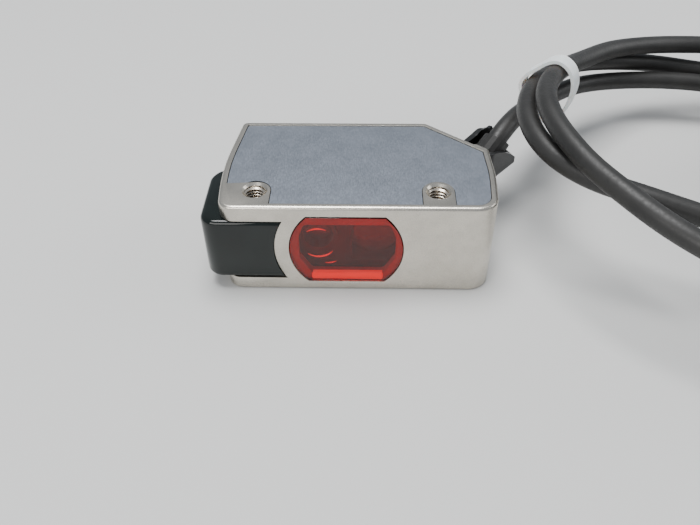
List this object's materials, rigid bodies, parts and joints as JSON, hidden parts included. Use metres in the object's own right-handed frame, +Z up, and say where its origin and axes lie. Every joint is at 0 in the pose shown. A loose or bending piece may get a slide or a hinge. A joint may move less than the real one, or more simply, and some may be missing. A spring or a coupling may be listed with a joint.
{
  "type": "photoelectric sensor",
  "caption": "Compact laser photoelectric sensor: steel housing with a round red lens cover, wrap-round corner indicator, rear display and buttons, and a cable from its chamfered corner.",
  "frame": {"origin": "on the floor under the middle of the bounding box of the sensor itself, without its cable, lying on its side", "axes": "+X along the lens face from the corner indicator to the chamfered cable corner, +Y from the lens face to the display face, +Z up across the thickness, out of the upper mounting side"},
  "size_m": [0.1361, 0.0761, 0.0223],
  "materials": {
    "steel": "bead-blasted satin stainless steel",
    "plate_steel": "fine satin stainless sheet",
    "red_lens": "clear ruby red plastic",
    "smoked_plastic": "smoked translucent gloss plastic",
    "milky_plastic": "milky diffusing plastic",
    "circuit_board": "green solder mask",
    "led": "small surface-mounted lamp",
    "black_plastic": "fine moulded black",
    "satin_black": "satin black",
    "clear_lens": "polished clear",
    "key_grey": "moulded grey key",
    "rubber": "matte black rubber",
    "brass": "plain metal can",
    "cable_jacket": "matte dark grey jacket",
    "white_plastic": "white nylon tie",
    "core_brown": "insulated core",
    "core_blue": "insulated core",
    "core_black": "insulated core",
    "core_white": "insulated core"
  },
  "bodies": {
    "sensor": {"cable_boot": "black_plastic", "cable_coil": "cable_jacket", "cable_end": "cable_jacket", "cable_lead": "cable_jacket", "coil_tie": "white_plastic", "core_black": "core_black", "core_blue": "core_blue", "core_brown": "core_brown", "core_white": "core_white", "display_board": "circuit_board", "display_module": "black_plastic", "display_panel": "black_plastic", "display_window": "clear_lens", "down_switch": "black_plastic", "emitter_barrel": "satin_black", "emitter_board": "circuit_board", "emitter_lens": "clear_lens", "housing": "steel", "indicator_board": "circuit_board", "indicator_dome": "smoked_plastic", "indicator_led_lower": "led", "indicator_led_upper": "led", "indicator_light_guide": "milky_plastic", "laser_diode": "brass", "lens_cover": "red_lens", "lens_cover_seal": "rubber", "light_baffle": "satin_black", "loop_tie": "white_plastic", "lower_side_plate": "plate_steel", "main_board": "circuit_board", "optical_frame": "satin_black", "receiver_board": "circuit_board", "receiver_chip": "black_plastic", "receiver_lens": "clear_lens", "set_switch": "black_plastic", "shield_can": "plate_steel", "signal_processor": "black_plastic", "strain_relief": "rubber", "up_switch": "black_plastic", "upper_side_plate": "plate_steel"},
    "set_button": {"set_button": "key_grey"},
    "up_button": {"up_button": "key_grey"},
    "down_button": {"down_button": "key_grey"}
  },
  "joints": [
    {"name": "set_press", "type": "slide", "parent": "sensor", "child": "set_button", "axis": [0, -1, 0], "range_m": [0, 0.0004], "stiffness_N_per_m": 1500},
    {"name": "up_press", "type": "slide", "parent": "sensor", "child": "up_button", "axis": [0, -1, 0], "range_m": [0, 0.0004], "stiffness_N_per_m": 1500},
    {"name": "down_press", "type": "slide", "parent": "sensor", "child": "down_button", "axis": [0, -1, 0], "range_m": [0, 0.0004], "stiffness_N_per_m": 1500}
  ]
}
